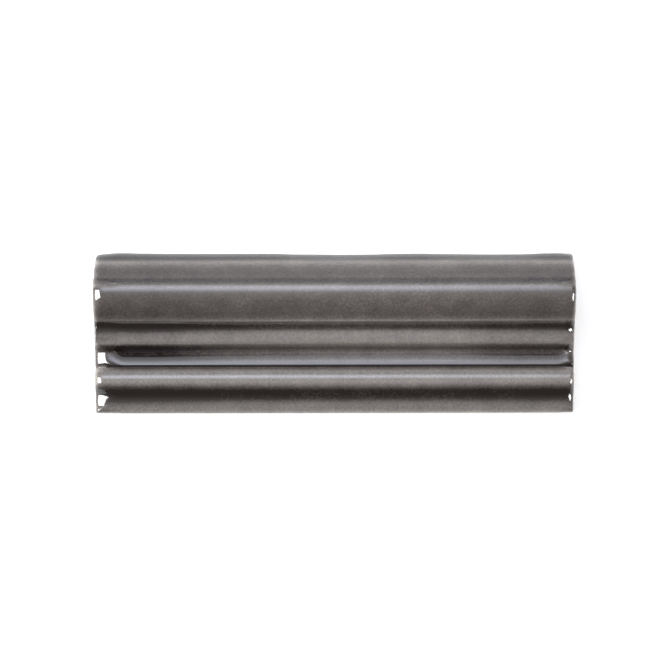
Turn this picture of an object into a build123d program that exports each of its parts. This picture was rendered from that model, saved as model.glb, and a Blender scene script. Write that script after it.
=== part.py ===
from build123d import *
import os
from math import acos, asin, atan2, cos, hypot, radians, sin, sqrt

# A glazed ceramic moulding tile of the dado kind, lying on its back with its moulded face up.
# X runs along the tile, +Y goes from the foot edge to the top edge, and +Z points out of the wall.
# The origin is the middle of the back. All sizes are in millimetres.
# The members are given in order across the tile, from the foot edge to the top edge.

# Tile as a whole
tile_length = 150.0
tile_width = 50.0
end_round_radius = 2.4      # soft arris where the moulded face turns down into each end
end_round_angle = 66.0      # how far round that arris goes before the flat end begins, in degrees
corner_radius = 0.8         # the four upright corners, seen from the front

# Foot, the flat member that meets the field tiles below
foot_height = 6.6
foot_arris = 0.6

# Bead, with the cove that runs up into it from the foot
bead_offset = 10.55         # from the foot edge to the bead's centre line
bead_height = 9.7
bead_radius = 4.2
cove_radius = 6.1

# Quirk, the narrow groove above the bead
quirk_depth = 2.25          # below the top of the bead
quirk_fillet = 0.2

# Splay, the shallow round that falls away from the quirk's lip to the foot of the band
lip_rise = 1.75             # from the bottom of the quirk to the lip
lip_lean = 0.45
lip_arris = 0.8
splay_run = 5.2
splay_drop = 2.35
splay_radius = 12.5
splay_fillet = 0.2

# Band, the flat member in the middle
band_height = 10.85
band_width = 4.5
band_riser_run = 1.7        # how far its lower riser leans back
band_arris = 1.6

# Hollow that runs up from the band to the roll
hollow_rise = 1.8
hollow_radius = 2.7
hollow_arris = 0.5

# Roll, the large round that stands furthest from the wall
roll_height = 17.3
roll_radius = 6.2           # over its top
roll_flank_radius = 42.0    # down its long lower flank
roll_flank_run = 8.95       # from the hollow's arris to the crest
roll_upper_run = 2.75       # from the crest to the upper shoulder
shoulder_arris = 0.6

# Check, the small step down from the roll to the slope
check_depth = 1.3
check_lean = 0.4
check_fillet = 0.5

# Slope, the long upper member that runs back to the wall over the width that is left
slope_radius = 26.0
nose_height = 3.6           # where the slope would meet the top edge
nose_radius = 3.5

# Keying grooves in the back, for the adhesive
key_count = 5
key_width = 4.0
key_depth = 1.1
key_draft = 20.0            # lean of the groove walls, in degrees
key_edge_margin = 4.4       # land left along the long edges
key_end_margin = 6.0        # land left at the ends
back_chamfer = 0.35


# Stations across the tile, each as its distance from the foot edge and its height

foot_corner = (0.0, foot_height)

# The cove is level where it leaves the foot and touches the bead where their centres line up
cove_centre_height = foot_height + cove_radius
bead_centre_height = bead_height - bead_radius
cove_to_bead_run = sqrt(
    (cove_radius + bead_radius) ** 2 - (cove_centre_height - bead_centre_height) ** 2
)
cove_start = (bead_offset - cove_to_bead_run, foot_height)
cove_turn = asin(cove_to_bead_run / (cove_radius + bead_radius))
cove_middle = (
    cove_start[0] + cove_radius * sin(cove_turn / 2),
    cove_centre_height - cove_radius * cos(cove_turn / 2),
)
cove_end = (
    cove_start[0] + cove_radius * sin(cove_turn),
    cove_centre_height - cove_radius * cos(cove_turn),
)
bead_top = (bead_offset, bead_height)
bead_far_turn = acos(1 - quirk_depth / bead_radius)

quirk = (bead_offset + bead_radius * sin(bead_far_turn), bead_height - quirk_depth)
lip = (quirk[0] + lip_lean, quirk[1] + lip_rise)
splay_low = (lip[0] + splay_run, lip[1] - splay_drop)

band_lower_edge = (splay_low[0] + band_riser_run, band_height)
band_upper_edge = (band_lower_edge[0] + band_width, band_height)

# The hollow is level where it leaves the band
hollow_turn = acos(1 - hollow_rise / hollow_radius)
hollow_middle = (
    band_upper_edge[0] + hollow_radius * sin(hollow_turn / 2),
    band_height + hollow_radius * (1 - cos(hollow_turn / 2)),
)
hollow_top = (band_upper_edge[0] + hollow_radius * sin(hollow_turn), band_height + hollow_rise)

# The flank of the roll starts at the hollow and runs smoothly into the round of the crest
crest = (hollow_top[0] + roll_flank_run, roll_height)
roll_centre = (crest[0], roll_height - roll_radius)
radius_excess = roll_flank_radius - roll_radius
arris_to_centre = hypot(crest[0] - hollow_top[0], roll_centre[1] - hollow_top[1])
arris_bearing = atan2(crest[0] - hollow_top[0], hollow_top[1] - roll_centre[1])
flank_cosine = (roll_flank_radius**2 - arris_to_centre**2 - radius_excess**2) / (
    2 * arris_to_centre * radius_excess
)
flank_turn = arris_bearing - acos(flank_cosine)
flank_centre = (
    roll_centre[0] + radius_excess * sin(flank_turn),
    roll_centre[1] - radius_excess * cos(flank_turn),
)
flank_end = (
    roll_centre[0] - roll_radius * sin(flank_turn),
    roll_centre[1] + roll_radius * cos(flank_turn),
)
flank_start_turn = asin((flank_centre[0] - hollow_top[0]) / roll_flank_radius)
flank_middle_turn = (flank_turn + flank_start_turn) / 2
flank_middle = (
    flank_centre[0] - roll_flank_radius * sin(flank_middle_turn),
    flank_centre[1] + roll_flank_radius * cos(flank_middle_turn),
)
shoulder_turn = asin(roll_upper_run / roll_radius)
shoulder = (
    crest[0] + roll_upper_run,
    roll_centre[1] + roll_radius * cos(shoulder_turn),
)

slope_start = (shoulder[0] + check_lean, shoulder[1] - check_depth)
nose = (tile_width, nose_height)


def station(point):
    """A point of the section in the plane that the section is drawn on."""
    return (point[0] - tile_width / 2, point[1])


def soften(section, corner, radius):
    """Rounds the one corner of the section that lies at a station."""
    place = Vector(*station(corner))
    nearest = min(section.vertices(), key=lambda vertex: (Vector(vertex) - place).length)
    return fillet(nearest, radius)


def moulding_section():
    """The closed section of the moulding, from the back up over every member."""
    outline = [
        Line(station((0.0, 0.0)), station(foot_corner)),
        Line(station(foot_corner), station(cove_start)),
        ThreePointArc(station(cove_start), station(cove_middle), station(cove_end)),
        ThreePointArc(station(cove_end), station(bead_top), station(quirk)),
        Line(station(quirk), station(lip)),
        RadiusArc(station(lip), station(splay_low), splay_radius),
        Line(station(splay_low), station(band_lower_edge)),
        Line(station(band_lower_edge), station(band_upper_edge)),
        ThreePointArc(
            station(band_upper_edge), station(hollow_middle), station(hollow_top)
        ),
        ThreePointArc(station(hollow_top), station(flank_middle), station(flank_end)),
        ThreePointArc(station(flank_end), station(crest), station(shoulder)),
        Line(station(shoulder), station(slope_start)),
        RadiusArc(station(slope_start), station(nose), slope_radius),
        Line(station(nose), station((tile_width, 0.0))),
        Line(station((tile_width, 0.0)), station((0.0, 0.0))),
    ]
    section = make_face(Curve() + outline)
    section = soften(section, foot_corner, foot_arris)
    section = soften(section, quirk, quirk_fillet)
    section = soften(section, lip, lip_arris)
    section = soften(section, splay_low, splay_fillet)
    section = soften(section, band_lower_edge, band_arris)
    section = soften(section, hollow_top, hollow_arris)
    section = soften(section, shoulder, shoulder_arris)
    section = soften(section, slope_start, check_fillet)
    section = soften(section, nose, nose_radius)
    return section


def face_path():
    """The line that the section follows: straight, then turned down round the arris at each end."""
    turn = radians(end_round_angle)
    end = tile_length / 2
    straight_end = end - end_round_radius * sin(turn)
    arris_middle = (
        straight_end + end_round_radius * sin(turn / 2),
        end_round_radius * (cos(turn / 2) - 1),
    )
    arris_end = (end, end_round_radius * (cos(turn) - 1))
    left_arris = Edge.make_three_point_arc(
        Vector(-arris_end[0], 0, arris_end[1]),
        Vector(-arris_middle[0], 0, arris_middle[1]),
        Vector(-straight_end, 0, 0),
    )
    run = Edge.make_line(Vector(-straight_end, 0, 0), Vector(straight_end, 0, 0))
    right_arris = Edge.make_three_point_arc(
        Vector(straight_end, 0, 0),
        Vector(arris_middle[0], 0, arris_middle[1]),
        Vector(arris_end[0], 0, arris_end[1]),
    )
    return Wire([left_arris, run, right_arris])


def moulded_body():
    """The section carried along the tile without ever turning, so that every member keeps its
    form right round the soft end arrises, and cut off level with the back."""
    path = face_path()
    start = Plane(origin=path @ 0, x_dir=(0, 1, 0), z_dir=(1, 0, 0))
    profile = start.location * moulding_section()
    swept = Solid.sweep(profile.face(), path, mode=Vector(1, 0, 0))
    plan = RectangleRounded(tile_length, tile_width, corner_radius)
    return swept & extrude(plan, amount=roll_height + 1)


def keying_grooves():
    """Shallow round-ended grooves along the back, narrower at the bottom than at the mouth."""
    groove_length = tile_length - 2 * key_end_margin
    spread = tile_width - 2 * key_edge_margin - key_width
    groove = extrude(SlotOverall(groove_length, key_width), amount=key_depth, taper=key_draft)
    lines = GridLocations(0, spread / (key_count - 1), 1, key_count)
    return [line * groove for line in lines]


def moulding_tile():
    """The whole tile as one fired piece."""
    tile = moulded_body()
    rim = tile.faces().sort_by(Axis.Z)[0].outer_wire().edges()
    tile = chamfer(rim, back_chamfer)
    for groove in keying_grooves():
        tile = tile - groove
    return tile


tile = moulding_tile()
tile.label = "moulding_tile"
os.makedirs("parts", exist_ok=True)
export_step(tile, "parts/moulding_tile.step")
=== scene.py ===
import bpy
import numpy as np
from math import acos, asin, atan2, cos, hypot, pi, radians, sin, sqrt
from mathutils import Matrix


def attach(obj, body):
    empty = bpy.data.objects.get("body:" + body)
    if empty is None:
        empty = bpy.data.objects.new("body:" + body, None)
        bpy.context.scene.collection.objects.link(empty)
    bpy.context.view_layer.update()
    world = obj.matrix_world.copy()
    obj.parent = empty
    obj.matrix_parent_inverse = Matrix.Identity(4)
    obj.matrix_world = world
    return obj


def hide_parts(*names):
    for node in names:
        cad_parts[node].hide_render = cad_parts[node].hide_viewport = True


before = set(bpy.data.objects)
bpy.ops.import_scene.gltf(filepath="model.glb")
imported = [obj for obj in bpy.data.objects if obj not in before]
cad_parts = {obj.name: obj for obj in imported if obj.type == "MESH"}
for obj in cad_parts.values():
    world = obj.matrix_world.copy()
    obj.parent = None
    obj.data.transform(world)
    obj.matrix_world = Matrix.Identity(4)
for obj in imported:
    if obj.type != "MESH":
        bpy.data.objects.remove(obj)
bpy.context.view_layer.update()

mm = 0.001

# The moulded section, in millimetres, member by member from the foot edge to the top edge
section = {
    "width": 50.0,
    "footHeight": 6.6,
    "beadOffset": 10.55, "beadHeight": 9.7, "beadRadius": 4.2, "coveRadius": 6.1,
    "quirkDepth": 2.25, "quirkWidth": 0.2,
    "lipRise": 1.75, "lipLean": 0.4,
    "splayRun": 5.07, "splayDrop": 2.35, "splayRadius": 12.5,
    "bandHeight": 10.85, "bandWidth": 4.0, "riserRun": 2.2,
    "stepRise": 1.8, "stepRadius": 2.7,
    "rollHeight": 17.3, "rollRadius": 6.2,
    "flankRadius": 42.0, "flankRun": 8.95, "upperRun": 2.75,
    "checkDepth": 1.3, "checkLean": 0.4,
    "slopeRadius": 26.0, "noseHeight": 3.6,
    # how far the glaze softens the outline to either side of each corner
    "soft": {
        "foot": 0.6, "cove": 0.3, "quirk": 0.08, "lip": 0.52, "riser": 0.02,
        "bandLower": 0.9, "bandUpper": 0.5, "step": 0.34, "roll": 0.3, "shoulder": 0.3,
        "slope": 0.25, "nose": 0.6,
    },
    "points": 430, "legSteps": 300,
    "spacing": 0.32, "turnSpacing": 3.2,    # points are this far apart, or turned by so many degrees
}

# Where the glaze lies full it fills the section's hollows, and the ends have forms of their own
forms = {
    "full": {"splayRun": 4.27, "splayDrop": 2.3, "splayRadius": 8.2, "riserRun": 3.0,
             "bandWidth": 2.9, "stepRadius": 4.5},
    "leftEnd": {"splayRun": 4.77, "splayDrop": 0.3, "splayRadius": 60.0, "riserRun": 2.5},
    "rightEnd": {"splayRun": 4.47, "splayDrop": 1.6, "riserRun": 2.8,
                 "bandWidth": 3.26, "stepRadius": 3.9},
    "endSoftness": 1.2,                     # added to the softness of every corner there
    # how far in from the tile's ends these reach, and over what length they fade
    "leftReach": 9.6, "leftFade": 6.4, "rightReach": 4.9, "rightFade": 3.2,
    # how full the glaze lies at places along the tile
    "along": [-75.0, -56.0, -46.0, -38.0, -23.0, -8.0, 0.0, 37.0, 50.0, 60.0, 75.0],
    "fullness": [1.0, 1.0, 0.68, 0.42, 0.22, 0.05, 0.0, 0.0, 0.4, 0.5, 0.6],
}

# The tile along its length, and what sets it apart from a perfect one
tile = {
    "length": 150.0,
    # how far each end's soft arris reaches along the tile, at places across it
    "arrisAcross": [0.0, 1.2, 2.5, 6.0, 7.5, 9.5, 12.0, 13.5, 14.6, 17.5, 19.5, 21.0, 22.5, 24.5,
                    26.5, 28.5, 33.0, 38.0, 45.0, 50.0],
    "leftRuns": [1.0, 1.6, 4.2, 8.2, 4.4, 2.7, 2.7, 3.2, 7.8, 8.0, 7.8, 4.0, 0.6, 0.6,
                 0.6, 1.8, 3.4, 3.4, 2.8, 2.4],
    "rightRuns": [0.6, 0.6, 1.4, 2.8, 2.4, 1.8, 1.4, 1.0, 0.6, 2.6, 2.8, 2.6, 0.6, 2.8,
                  3.6, 1.8, 1.9, 1.6, 1.8, 1.5],
    "arrisDepth": 1.9,                      # how far down, and deeper where it reaches past deepRun
    "deepRun": 6.2,
    "fullDropHeight": 3.0,                  # the drop fades out below this height
    "arrisRows": 15, "fillRows": 8, "grooveRows": 9,
    "room": 0.3,                            # kept clear between the longest arris and the even rows
    "rows": 56, "nearRows": 7, "nearReach": 4.0,
    "cornerRadius": 0.8, "topLeftRadius": 1.5,
    # the outermost top edge wanders in and out along the tile, fully from the inset on outward
    "waveWidth": 2.2, "waveInset": 0.4,
    "waveAlong": [-75, -68, -60, -52, -36, -20, -12, 3, 11, 19, 27, 35, 51, 59, 67, 71, 75],
    "waveOut": [0.1, 0.45, 0.27, 0.16, 0.13, 0.12, -0.12, -0.25, -0.22, 0.0, 0.06, -0.1, -0.24,
                -0.2, 0.1, 0.14, 0.0],
    "keyCount": 5, "keyWidth": 4.0, "keyDepth": 1.1, "keyDraft": 20.0,
    "keyEdgeMargin": 4.4, "keyEndMargin": 6.0,
}


# Even points along a straight line or an arc from one place to another. The arc's centre is on the
# square of the chord, sqrt(radius^2 - (chord / 2)^2) from its middle; a positive radius bulges out.
def legPoints(start, end, radius):
    start, end = np.array(start), np.array(end)
    chord = np.linalg.norm(end - start)
    share = np.linspace(0.0, 1.0, section["legSteps"])[:, None]
    if radius == 0:
        return start + (end - start) * share
    side = np.sign(radius)
    square = np.array([end[1] - start[1], start[0] - end[0]]) / chord
    centre = (start + end) / 2 + side * square * sqrt(radius ** 2 - chord ** 2 / 4)
    first = np.arctan2(*(start - centre)[::-1])
    turn = -side * 2 * asin(chord / 2 / abs(radius))
    angle = first + turn * share
    return centre + abs(radius) * np.hstack([np.cos(angle), np.sin(angle)])


# The section's corners in order: name, distance from the foot edge, height, and radius of the leg
# that leads there, with smooth joints worked out from the radii as in the tile's drawing.
def sectionCorners(s):
    low = s["beadHeight"] - s["beadRadius"]
    high = s["footHeight"] + s["coveRadius"]
    run = sqrt((s["coveRadius"] + s["beadRadius"]) ** 2 - (high - low) ** 2)
    coveTurn = asin(run / (s["coveRadius"] + s["beadRadius"]))
    coveX = s["beadOffset"] - run
    coveEnd = (coveX + s["coveRadius"] * sin(coveTurn), high - s["coveRadius"] * cos(coveTurn))
    beadTurn = acos(1 - s["quirkDepth"] / s["beadRadius"])
    quirkX = s["beadOffset"] + s["beadRadius"] * sin(beadTurn)
    quirkH = s["beadHeight"] - s["quirkDepth"]
    lipX = quirkX + s["quirkWidth"] + s["lipLean"]
    lipH = quirkH + s["lipRise"]
    lowX = lipX + s["splayRun"]
    lowH = lipH - s["splayDrop"]
    bandX = lowX + s["riserRun"]
    stepTurn = acos(1 - s["stepRise"] / s["stepRadius"])
    stepX = bandX + s["bandWidth"] + s["stepRadius"] * sin(stepTurn)
    stepH = s["bandHeight"] + s["stepRise"]
    crestX = stepX + s["flankRun"]
    rollH = s["rollHeight"] - s["rollRadius"]
    excess = s["flankRadius"] - s["rollRadius"]
    reach = hypot(crestX - stepX, rollH - stepH)
    bearing = atan2(crestX - stepX, stepH - rollH)
    turn = bearing - acos((s["flankRadius"] ** 2 - reach ** 2 - excess ** 2) / (2 * reach * excess))
    shoulderTurn = asin(s["upperRun"] / s["rollRadius"])
    shoulderX = crestX + s["upperRun"]
    shoulderH = rollH + s["rollRadius"] * cos(shoulderTurn)
    return [
        ("base", 0.0, 0.0, 0),
        ("foot", 0.0, s["footHeight"], 0),
        ("cove", coveX, s["footHeight"], 0),
        ("cove", *coveEnd, -s["coveRadius"]),
        ("quirk", quirkX, quirkH, s["beadRadius"]),
        ("quirk", quirkX + s["quirkWidth"], quirkH, 0),
        ("lip", lipX, lipH, 0),
        ("riser", lowX, lowH, s["splayRadius"]),
        ("bandLower", bandX, s["bandHeight"], 0),
        ("bandUpper", bandX + s["bandWidth"], s["bandHeight"], 0),
        ("step", stepX, stepH, -s["stepRadius"]),
        ("roll", crestX - s["rollRadius"] * sin(turn), rollH + s["rollRadius"] * cos(turn),
         s["flankRadius"]),
        ("shoulder", shoulderX, shoulderH, s["rollRadius"]),
        ("slope", shoulderX + s["checkLean"], shoulderH - s["checkDepth"], 0),
        ("nose", s["width"], s["noseHeight"], s["slopeRadius"]),
        ("base", s["width"], 0.0, 0),
    ]


# The face's outline with its corners softened: each point becomes the mean of the outline over a
# half width to either side, (I(s + w) - I(s - w)) / 2w, where I is the running integral of the
# outline along its own length s. Points are then spaced by length and by how fast the outline turns.
def softOutline(s, extra=0.0):
    corners = sectionCorners(s)
    legs = [legPoints(a[1:3], b[1:3], b[3])[:-1] for a, b in zip(corners, corners[1:])]
    starts = np.cumsum([0] + [len(leg) for leg in legs])
    line = np.vstack(legs + [np.array([corners[-1][1:3]])])
    length = np.concatenate([[0], np.cumsum(np.linalg.norm(np.diff(line, axis=0), axis=1))])
    width = np.interp(length, length[starts], [s["soft"].get(c[0], 0.01) for c in corners])
    width = width + extra
    for share in (1.0, 0.5):
        half = np.minimum(width * share, np.minimum(length, length[-1] - length)) + 1e-4
        whole = np.pad(line, ((1, 1), (0, 0)), mode="edge")
        reach = np.concatenate([[-1.0], length, [length[-1] + 1.0]])
        steps = np.diff(reach)[:, None] * (whole[1:] + whole[:-1]) / 2
        total = np.vstack([[0.0, 0.0], np.cumsum(steps, axis=0)])
        ahead = np.stack([np.interp(length + half, reach, total[:, k]) for k in (0, 1)], axis=1)
        behind = np.stack([np.interp(length - half, reach, total[:, k]) for k in (0, 1)], axis=1)
        line = (ahead - behind) / (2 * half[:, None])
    heading = np.unwrap(np.arctan2(np.gradient(line[:, 1]), np.gradient(line[:, 0])))
    weight = np.cumsum(np.gradient(length) / s["spacing"] +
                       np.abs(np.gradient(heading)) / radians(s["turnSpacing"]))
    return line, weight, length


# The face's outline in its plain form and in the other three, each with the same points.
def faceForms(s):
    line, weight, length = softOutline(s)
    ways = [line]
    for form, extra in (("full", 0.0), ("leftEnd", forms["endSoftness"]),
                        ("rightEnd", forms["endSoftness"])):
        ways.append(softOutline({**s, **forms[form]}, extra)[0])
    pick = np.linspace(weight[0], weight[-1], s["points"])
    return [np.stack([np.interp(pick, weight, way[:, k]) for k in (0, 1)], axis=1) for way in ways]


# Depth of the keying grooves at any place on the back: full depth inside a capsule round each
# groove's centre line, falling off over the drafted wall, depth * clip((w/2 - away) / wall, 0, 1).
def keyDepth(x, y):
    half = (section["width"] / 2 - tile["keyEdgeMargin"]) - tile["keyWidth"] / 2
    pitch = 2 * half / (tile["keyCount"] - 1)
    nearest = np.clip(np.round(y / pitch), -(tile["keyCount"] // 2), tile["keyCount"] // 2) * pitch
    reach = tile["length"] / 2 - tile["keyEndMargin"] - tile["keyWidth"] / 2
    distance = np.hypot(y - nearest, np.maximum(np.abs(x) - reach, 0))
    wall = tile["keyDepth"] * np.tan(radians(tile["keyDraft"]))
    return tile["keyDepth"] * np.clip((tile["keyWidth"] / 2 - distance) / wall, 0, 1)


# The wander of the outermost top edge, easing from place to place: a + (b - a)(1 - cos pi t) / 2.
def edgeWave(x):
    along, out = np.array(tile["waveAlong"], float), np.array(tile["waveOut"])
    before = np.clip(np.searchsorted(along, x, side="right") - 1, 0, len(along) - 2)
    t = np.clip((x - along[before]) / (along[before + 1] - along[before]), 0, 1)
    return out[before] + (out[before + 1] - out[before]) * (1 - np.cos(pi * t)) / 2


# Distances from either end, going inward. On the face, a soft arris goes round a quarter turn, its
# run * (1 - sin a) with the drop depth (1 - cos a), and even rows lead on from it to the room's end.
# On the back the same rows are spent on the round ends of the grooves, margin + w/2 (1 - sin a).
def endStations(run, onBack):
    angle = np.linspace(pi / 2, 0, tile["arrisRows"])
    fill = np.arange(1, tile["fillRows"])[:, None] / tile["fillRows"]
    room = max(tile["leftRuns"] + tile["rightRuns"]) + tile["room"]
    face = np.vstack([(1 - np.sin(angle))[:, None] * run, run + (room - run) * fill])
    drop = np.zeros(len(face))
    drop[:len(angle)] = tile["arrisDepth"] * (1 - np.cos(angle))
    groove = tile["keyWidth"] / 2 * (1 - np.sin(np.linspace(pi / 2, 0, tile["grooveRows"])))
    land = np.linspace(0, tile["keyEndMargin"] - 0.1, len(face) - len(groove) - 1)
    under = np.concatenate([land, tile["keyEndMargin"] + groove, [room - 0.2]])
    return np.where(onBack > 0.5, under[:, None], face), drop, room


# The whole tile as one closed surface of two parameters. Across, the soft outline goes over the face
# and the back's own stations return under it; along, each row is that ring at x, with every point
# lowered by drop * clip(h / full drop height, 0, 1), so that the back stays level. The ring itself
# is the sum of the four forms by their shares there, which ease in as t^2 (3 - 2t) to each end.
def tileSurface():
    faces = faceForms(section)
    halfWidth = section["width"] / 2
    grooves = (halfWidth - tile["keyEdgeMargin"] - tile["keyWidth"] / 2)
    centres = np.linspace(-grooves, grooves, tile["keyCount"])
    wall = tile["keyDepth"] * np.tan(radians(tile["keyDraft"]))
    edge = tile["keyWidth"] / 2
    beside = 0.3                            # rows this near the corners keep them crisp
    across = np.array([-edge - beside, -edge, -edge + wall, -edge + wall + beside, 0,
                       edge - wall - beside, edge - wall, edge, edge + beside])
    under = (centres[::-1, None] + across[::-1]).ravel()
    ringsY = [np.concatenate([way[:, 0] - halfWidth, under]) for way in faces]
    ringsH = [np.concatenate([way[:, 1], np.zeros(len(under))]) for way in faces]
    ringY = ringsY[0]
    onBack = np.concatenate([np.zeros(len(faces[0])), np.ones(len(under))])
    place = np.clip(ringY + halfWidth, 0, section["width"])
    leftRun, rightRun = (np.interp(place, tile["arrisAcross"], tile[runs])
                         for runs in ("leftRuns", "rightRuns"))
    end = tile["length"] / 2
    fromLeft, fall, room = endStations(leftRun, onBack)
    fromRight = endStations(rightRun, onBack)[0]
    close = np.linspace(room, room + tile["nearReach"], tile["nearRows"])
    even = np.linspace(room - end, end - room, tile["rows"])
    middle = np.unique(np.concatenate([close - end, even, end - close]).round(4))
    gx = np.vstack([fromLeft - end, np.repeat(middle[:, None], len(ringY), axis=1),
                    end - fromRight[::-1]])
    drop = np.concatenate([fall, np.zeros(len(middle)), fall[::-1]])
    atLeft = np.clip((forms["leftReach"] - (gx + end)) / forms["leftFade"], 0, 1)
    atRight = np.clip((forms["rightReach"] - (end - gx)) / forms["rightFade"], 0, 1)
    atLeft, atRight = (near ** 2 * (3 - 2 * near) for near in (atLeft, atRight))
    full = np.interp(gx, forms["along"], forms["fullness"]) * (1 - atLeft - atRight)
    shares = (1 - full - atLeft - atRight, full, atLeft, atRight)
    gy = sum(share * way for share, way in zip(shares, ringsY))
    gh = sum(share * way for share, way in zip(shares, ringsH))
    back = np.broadcast_to(onBack, gx.shape) > 0.5
    deeper = np.where(gx < 0, np.maximum(leftRun, tile["deepRun"]) / tile["deepRun"], 1)
    gz = gh - drop[:, None] * deeper * np.clip(gh / tile["fullDropHeight"], 0, 1)
    gz = np.where(back, keyDepth(gx, gy), gz)
    wavy = np.clip((gy - halfWidth + tile["waveInset"]) / tile["waveWidth"] + 1, 0, 1) * (gh > 0)
    gy = gy + edgeWave(gx) * wavy ** 2 * (3 - 2 * wavy)
    radius = np.where((gx < 0) & (gy > 0), tile["topLeftRadius"], tile["cornerRadius"])
    into = np.maximum(np.abs(gx) - (end - radius), 0)
    limit = halfWidth - radius + np.sqrt(np.maximum(radius ** 2 - into ** 2, 0))
    limit = np.where(into > 0, limit, halfWidth + 1)
    gy = np.clip(gy, -limit, limit)
    return gx, gy, gz, back, drop


gx, gy, gz, back, drop = tileSurface()
print("surface", gx.shape, gz.max(), gy.min(), gy.max())


# Quads between neighbouring rows and columns, the columns closing into a ring, and one face per end,
# each with its points in the order that makes it face outwards.
def surfaceMesh(name, x, y, z):
    rows, columns = x.shape
    index = np.arange(rows * columns).reshape(rows, columns)
    after = np.roll(index, -1, axis=1)
    quads = np.stack([index[:-1], index[1:], after[1:], after[:-1]], axis=-1).reshape(-1, 4)
    mesh = bpy.data.meshes.new(name)
    points = np.stack([x, y, z], axis=-1).reshape(-1, 3) * mm
    faces = quads.tolist() + [index[0].tolist(), index[-1, ::-1].tolist()]
    mesh.from_pydata(points.tolist(), [], faces)
    mesh.update()
    piece = bpy.data.objects.new(name, mesh)
    bpy.context.collection.objects.link(piece)
    return piece


tilePiece = surfaceMesh("glazed_moulding", gx, gy, gz)
mesh = tilePiece.data
mesh.polygons.foreach_set("use_smooth", np.ones(len(mesh.polygons), dtype=bool))
mesh.set_sharp_from_angle(angle=radians(40))


# How thick the glaze lies, 0 thin to 1 pooled, at places across the tile: its depth where it lies
# thin and where it lies full. It is partly real pooling in the hollows and partly painted light. The
# painted shade is deepest in the cove, the quirk, the riser's foot, the hollow and the check, where
# shade falls. The painted highlight is thinnest on the nose band, the step's arris, the bead, the
# band and the foot, where reflections fall. Towards the end arrises it thins with the face's drop
# there.
glaze = {
    "places": [
        (0.4, -0.15, -0.1), (0.8, 0.3, 0.35), (1.4, 0.37, 0.38), (2.0, 0.41, 0.46),
        (2.6, 0.42, 0.62), (3.3, 0.55, 0.88), (3.9, 0.77, 1.02), (4.5, 0.97, 1.1),
        (5.1, 1.0, 1.1), (7.1, 1.0, 1.1), (7.6, 0.81, 0.93), (8.2, 0.46, 0.74),
        (8.8, 0.22, 0.38),                                                      # foot and cove
        (9.5, 0.03, 0.12), (10.1, 0.0, 0.03), (10.7, 0.16, 0.16), (11.4, 0.15, 0.18),
        (12.0, 0.25, 0.3), (12.6, 0.33, 0.33), (13.2, 0.02, 0.13), (13.8, 0.15, 0.24),
        (14.2, 0.36, 0.5), (14.5, 0.86, 0.95), (15.0, 1.1, 1.1), (15.7, 1.1, 1.1),  # bead and quirk
        (16.3, 0.46, 1.1), (16.6, 0.57, 1.1), (17.0, 0.72, 1.15), (17.6, 0.7, 1.1),
        (17.9, 0.78, 1.1), (18.2, 0.65, 1.0), (18.5, 0.4, 0.95), (18.8, 0.28, 0.98),
        (19.4, 0.4, 1.05), (19.8, 0.52, 1.1), (20.2, 0.74, 1.1), (20.7, 0.57, 1.05),
        (21.0, 0.38, 0.95), (21.3, 0.2, 0.7), (21.6, 0.02, 0.35),               # splay and riser
        (21.9, -0.06, 0.12), (22.6, 0.05, 0.24), (23.2, 0.24, 0.4), (24.4, 0.22, 0.52),
        (25.0, 0.27, 0.7), (25.7, 0.44, 1.02), (26.3, 0.95, 1.1),               # band and hollow
        (27.0, 0.92, 1.15), (27.5, 0.82, 1.15), (28.2, 0.6, 1.05), (28.5, 0.35, 1.0),
        (28.8, 0.1, 0.6), (29.1, -0.02, 0.28), (29.4, 0.28, 0.4), (30.0, 0.4, 0.58),
        (31.0, 0.53, 0.69), (32.5, 0.5, 0.63), (34.4, 0.41, 0.54), (35.6, 0.4, 0.53),  # and flank
        (37.5, 0.47, 0.68), (38.4, 0.45, 0.82), (38.8, 0.45, 0.9), (39.4, 0.28, 0.4),
        (40.0, 0.29, 0.31), (40.6, 0.62, 0.69), (41.2, 0.77, 0.9), (41.9, 0.78, 0.9),
        (42.5, 0.45, 0.58), (43.7, 0.43, 0.56),                                 # crest and check
        (44.3, 0.5, 0.71), (45.0, 0.51, 0.72), (45.6, 0.44, 0.57), (46.2, 0.32, 0.42),
        (46.8, 0.1, 0.2), (47.5, 0.04, 0.13), (48.1, 0.6, 0.66), (48.7, 1.0, 1.0),
        (49.3, 0.6, 0.8), (49.8, 0.6, 0.7),                                     # slope
    ],
    "endThinning": 1.25,
    "range": (-0.33, 1.15),
    "stopHeight": 2.2, "stopFade": 0.8,     # the glaze ends this far above the back
}
# the fullness along the tile also darkens the glaze's colour towards both ends, most at the left
fullness = np.interp(gx, forms["along"], forms["fullness"])
across, thinDepth, fullDepth = np.array(glaze["places"]).T
thinDepth, fullDepth = (np.interp(gy + section["width"] / 2, across, way)
                        for way in (thinDepth, fullDepth))
depth = thinDepth + (fullDepth - thinDepth) * fullness
thinned = glaze["endThinning"] * (drop / tile["arrisDepth"])[:, None]
depth = np.clip(depth - thinned, *glaze["range"])
bare = np.clip(1 - (gz - glaze["stopHeight"]) / glaze["stopFade"], 0, 1)
bare = np.where(back, 1.0, bare)
for title, values in (("glazeDepthAndShade", depth), ("bare", bare)):
    layer = mesh.attributes.new(title, "FLOAT", "POINT")
    layer.data.foreach_set("value", values.astype(np.float32).ravel())
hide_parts("moulding_tile")
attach(tilePiece, "root")
print("tile built", len(mesh.vertices), "points")


def addNode(tree, kind, inputs=None, **settings):
    node = tree.nodes.new(kind)
    for key, value in settings.items():
        setattr(node, key, value)
    for key, value in (inputs or {}).items():
        if isinstance(value, bpy.types.NodeSocket):
            tree.links.new(value, node.inputs[key])
        else:
            node.inputs[key].default_value = value
    return node


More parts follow.
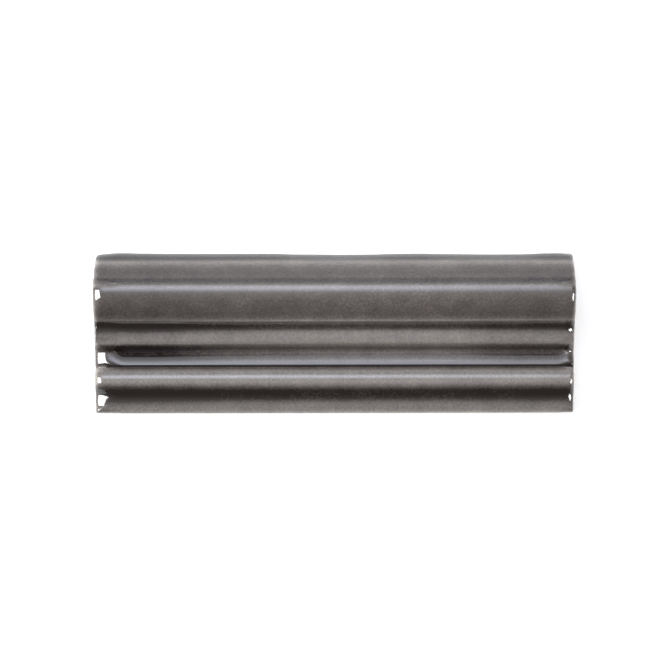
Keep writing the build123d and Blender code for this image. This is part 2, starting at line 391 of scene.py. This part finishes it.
def rampNode(tree, factor, stops):
    ramp = addNode(tree, "ShaderNodeValToRGB", {"Fac": factor})
    while len(ramp.color_ramp.elements) < len(stops):
        ramp.color_ramp.elements.new(0.5)
    for element, (place, colour) in zip(ramp.color_ramp.elements, stops):
        element.position = place
        element.color = (*colour, 1.0)
    return ramp.outputs["Color"]


glazeLook = {
    "broken": (0.42, 0.38, 0.33),           # over the end arrises, where the clay shines through
    # the thin glaze colour, also the painted highlight where the depth table lightens the glaze
    "thinAndSheen": (0.231, 0.205, 0.186),
    "face": (0.101, 0.086, 0.078),
    # the pooled glaze colour, also the painted shade where the depth table darkens the glaze
    "pooledAndShade": (0.0100, 0.0064, 0.0056),
    "clay": (0.72, 0.62, 0.47), "grain": 0.86, "grainScale": 900.0,
    "mottleScale": 1350.0, "mottle": 0.6,   # fine specks
    "driftScale": 170.0, "drift": 0.3,      # and slow change from place to place
    "rippleScale": 90.0, "ripple": 0.00006,
    "glossRough": 0.07, "clayRough": 0.8, "ior": 1.52,
}


# Glaze over clay: colour from the glaze's depth, painted shade and painted highlight included, with
# a fine mottle, clay where the glaze stops.
def glazeMaterial(look):
    material = bpy.data.materials.new("glossy dark grey glaze")
    material.use_nodes = True
    tree = material.node_tree
    shader = tree.nodes["Principled BSDF"]
    place = addNode(tree, "ShaderNodeTexCoord").outputs["Object"]
    # the depth attribute carries real pooling together with painted shade and painted highlight
    depthAndShadeLayer = addNode(tree, "ShaderNodeAttribute", attribute_name="glazeDepthAndShade").outputs["Fac"]
    bareLayer = addNode(tree, "ShaderNodeAttribute", attribute_name="bare").outputs["Fac"]
    fine = addNode(tree, "ShaderNodeTexNoise", {"Vector": place, "Scale": look["mottleScale"],
                                                "Detail": 4.0}).outputs["Fac"]
    shift = addNode(tree, "ShaderNodeMath", {0: fine, 1: 0.5}, operation="SUBTRACT").outputs[0]
    shifted = addNode(tree, "ShaderNodeMath", {0: shift, 1: look["mottle"], 2: depthAndShadeLayer},
                      operation="MULTIPLY_ADD").outputs[0]
    broad = addNode(tree, "ShaderNodeTexNoise", {"Vector": place, "Scale": look["driftScale"],
                                                 "Detail": 2.0}).outputs["Fac"]
    drift = addNode(tree, "ShaderNodeMath", {0: broad, 1: 0.5}, operation="SUBTRACT").outputs[0]
    shifted = addNode(tree, "ShaderNodeMath", {0: drift, 1: look["drift"], 2: shifted},
                      operation="MULTIPLY_ADD").outputs[0]
    deep = addNode(tree, "ShaderNodeMapRange", {"Value": shifted, "From Min": -0.333})
    colour = rampNode(tree, deep.outputs[0], [(0.0, look["broken"]), (0.25, look["thinAndSheen"]),
                                              (0.5875, look["face"]), (1.0, look["pooledAndShade"])])
    grain = addNode(tree, "ShaderNodeTexNoise", {"Vector": place, "Scale": look["grainScale"],
                                                 "Detail": 5.0}).outputs["Fac"]
    clayTone = tuple(c * look["grain"] for c in look["clay"])
    clay = rampNode(tree, grain, [(0.3, clayTone), (0.7, look["clay"])])
    blend = addNode(tree, "ShaderNodeMix", {0: bareLayer, 6: colour, 7: clay}, data_type="RGBA")
    tree.links.new(blend.outputs[2], shader.inputs["Base Color"])
    rough = addNode(tree, "ShaderNodeMapRange", {"Value": bareLayer, "To Min": look["glossRough"],
                                                 "To Max": look["clayRough"]})
    tree.links.new(rough.outputs[0], shader.inputs["Roughness"])
    shader.inputs["IOR"].default_value = look["ior"]
    slow = addNode(tree, "ShaderNodeTexNoise", {"Vector": place, "Scale": look["rippleScale"],
                                                "Detail": 2.0}).outputs["Fac"]
    bump = addNode(tree, "ShaderNodeBump", {"Strength": 1.0, "Distance": look["ripple"],
                                            "Height": slow})
    tree.links.new(bump.outputs["Normal"], shader.inputs["Normal"])
    return material


mesh.materials.append(glazeMaterial(glazeLook))

stage = {"size": 4.0, "below": 0.0002, "tone": (0.88, 0.88, 0.88), "rough": 0.9, "lift": 0.31}
floorMesh = bpy.data.meshes.new("floor")
edge = stage["size"] / 2
floorMesh.from_pydata([(-edge, -edge, 0), (edge, -edge, 0), (edge, edge, 0), (-edge, edge, 0)], [],
                      [(0, 1, 2, 3)])
floor = bpy.data.objects.new("floor", floorMesh)
bpy.context.collection.objects.link(floor)
floor.location.z = -stage["below"]
floorLook = bpy.data.materials.new("white paper floor")
floorLook.use_nodes = True
tree = floorLook.node_tree
paper = tree.nodes["Principled BSDF"]
paper.inputs["Base Color"].default_value = (*stage["tone"], 1)
paper.inputs["Roughness"].default_value = stage["rough"]
# the lift shows to the eye, in reflections and through glass, and lights nothing
rays = addNode(tree, "ShaderNodeLightPath").outputs
seen = addNode(tree, "ShaderNodeMath", {0: rays["Is Camera Ray"], 1: rays["Is Glossy Ray"]},
               operation="ADD").outputs[0]
seen = addNode(tree, "ShaderNodeMath", {0: seen, 1: rays["Is Transmission Ray"]},
               operation="ADD", use_clamp=True).outputs[0]
lift = addNode(tree, "ShaderNodeMath", {0: seen, 1: stage["lift"]}, operation="MULTIPLY").outputs[0]
paper.inputs["Emission Color"].default_value = (1, 1, 1, 1)
tree.links.new(lift, paper.inputs["Emission Strength"])
floorMesh.materials.append(floorLook)

# Softboxes: each is a rectangle at a direction seen from the tile, given as the angle from straight
# up and the compass side, with its size in metres and its brightness as seen from the tile.
lamps = {
    "leftBox": {"side": 188, "lean": 47, "away": 1.2, "size": (0.85, 0.95), "glow": 26.0,
                "tint": (1, 1, 1), "lights": "gloss"},
    "rightBox": {"side": -24, "lean": 58, "away": 1.2, "size": (0.6, 0.6), "glow": 26.0,
                 "tint": (1, 1, 1), "lights": "gloss"},
    "leftFill": {"side": 190, "lean": 48, "away": 1.2, "size": (0.5, 0.5), "glow": 11.0,
                 "tint": (0.86, 0.95, 1.0), "lights": "matt"},
}
for name, lamp in lamps.items():
    light = bpy.data.lights.new(name, "AREA")
    light.shape = "RECTANGLE"
    light.size, light.size_y = lamp["size"]
    # an area light of radiance L sends out pi * L * area watts
    light.energy = lamp["glow"] * pi * lamp["size"][0] * lamp["size"][1]
    light.color = lamp["tint"]
    holder = bpy.data.objects.new(name, light)
    bpy.context.collection.objects.link(holder)
    lean, side = radians(lamp["lean"]), radians(lamp["side"])
    holder.location = (lamp["away"] * sin(lean) * cos(side), lamp["away"] * sin(lean) * sin(side),
                       lamp["away"] * cos(lean))
    holder.rotation_euler = (0, lean, side)
    holder.visible_camera = False
    holder.visible_diffuse = lamp["lights"] == "matt"
    holder.visible_glossy = lamp["lights"] == "gloss"

# Room light: an even tone and, towards the tile's top edge, a soft window whose brightness is
# peak * max(0, d . w)^sharpness for a direction d and the window's direction w.
room = {
    "even": (0.285, 0.265, 0.245),
    "window": (-0.08, 0.45, 0.89),
    "lobes": [(1.9, 2.6, (1.0, 0.99, 0.97)), (5.8, 26.0, (0.87, 0.92, 1.13))],
    "wall": (0.0, 0.94, 0.34), "wallLobe": (0.7, 8.0, (0.82, 0.95, 1.16)),
    "onMatt": 0.50,                         # how much of it lights matt surfaces
}
world = bpy.data.worlds.new("studio")
bpy.context.scene.world = world
world.use_nodes = True
tree = world.node_tree
heading = addNode(tree, "ShaderNodeTexCoord").outputs["Generated"]
total = None
for way, (peak, sharpness, tint) in [(room["window"], lobe) for lobe in room["lobes"]] + [
        (room["wall"], room["wallLobe"])]:
    facing = addNode(tree, "ShaderNodeVectorMath", {0: heading, 1: way},
                     operation="DOT_PRODUCT").outputs["Value"]
    facing = addNode(tree, "ShaderNodeMath", {0: facing, 1: 0.0}, operation="MAXIMUM").outputs[0]
    lobe = addNode(tree, "ShaderNodeMath", {0: facing, 1: sharpness}, operation="POWER").outputs[0]
    glow = addNode(tree, "ShaderNodeVectorMath", {0: tuple(peak * c for c in tint)},
                   operation="SCALE")
    tree.links.new(lobe, glow.inputs["Scale"])
    start = total if total else room["even"]
    total = addNode(tree, "ShaderNodeVectorMath", {0: start, 1: glow.outputs[0]},
                    operation="ADD").outputs[0]
matt = addNode(tree, "ShaderNodeLightPath").outputs["Is Diffuse Ray"]
strength = addNode(tree, "ShaderNodeMapRange", {"Value": matt, "To Min": 1.0,
                                                "To Max": room["onMatt"]}).outputs[0]
background = tree.nodes["Background"]
tree.links.new(total, background.inputs["Color"])
tree.links.new(strength, background.inputs["Strength"])

# The camera looks straight down from arm's length; the tile lies a little off its middle.
view = {"height": 0.8, "across": 0.2101, "offset": (-0.0006, 0.00025), "roll": -0.12}
cameraData = bpy.data.cameras.new("camera")
cameraData.sensor_width = 36.0
cameraData.lens = 36.0 * view["height"] / view["across"]
camera = bpy.data.objects.new("camera", cameraData)
camera.location = (*view["offset"], view["height"])
camera.rotation_euler = (0, 0, radians(view["roll"]))
bpy.context.collection.objects.link(camera)
bpy.context.scene.camera = camera
bpy.context.scene.view_settings.view_transform = "Standard"
print("stage, lights and camera set")
